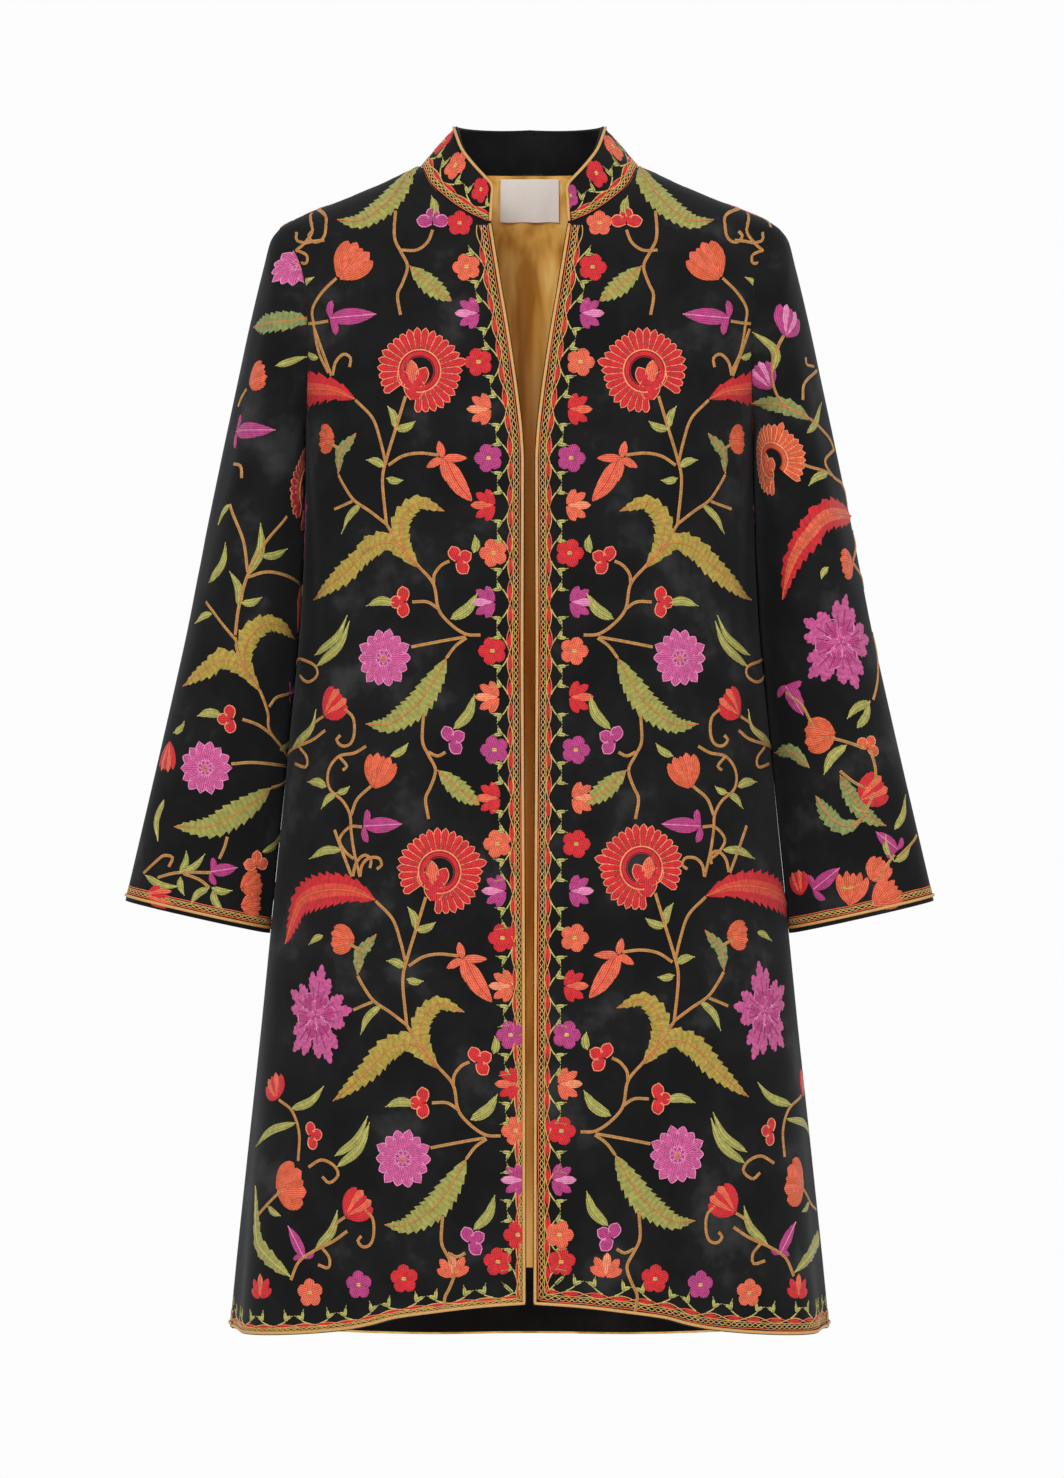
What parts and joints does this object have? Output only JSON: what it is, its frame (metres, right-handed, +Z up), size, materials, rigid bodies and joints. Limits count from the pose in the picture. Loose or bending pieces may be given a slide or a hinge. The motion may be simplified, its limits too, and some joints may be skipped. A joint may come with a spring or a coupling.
{
  "type": "velvet coat",
  "caption": "Thigh-length open-front velvet coat with a stand collar and long sleeves, in its hollow worn shape.",
  "frame": {"origin": "middle of the neck, level with the inner ends of the shoulder seams, where the wearer's neck and shoulders hold the coat", "axes": "+Z up, -Y towards the coat's front, +X towards the wearer's left"},
  "size_m": [0.671, 0.2934, 1.0171],
  "materials": {
    "black_velvet": "black silk velvet with a soft nap and multicoloured thread embroidery",
    "black_facing": "plain black velvet facing",
    "gold_satin": "gold satin lining",
    "cream_label": "bare cream satin label",
    "gold_cord": "couched gold cord"
  },
  "bodies": {
    "root": {"back": "black_velvet", "front_left": "black_velvet", "front_right": "black_velvet", "sleeve_left": "black_velvet", "sleeve_right": "black_velvet", "collar": "black_velvet", "collar_facing": "black_facing", "back_lining": "gold_satin", "back_hem_facing": "black_facing", "neck_label": "cream_label", "front_left_edge_cord": "gold_cord", "front_right_edge_cord": "gold_cord", "back_hem_cord": "gold_cord", "collar_edge_cord": "gold_cord", "cuff_left_cord": "gold_cord", "cuff_right_cord": "gold_cord"}
  },
  "joints": []
}
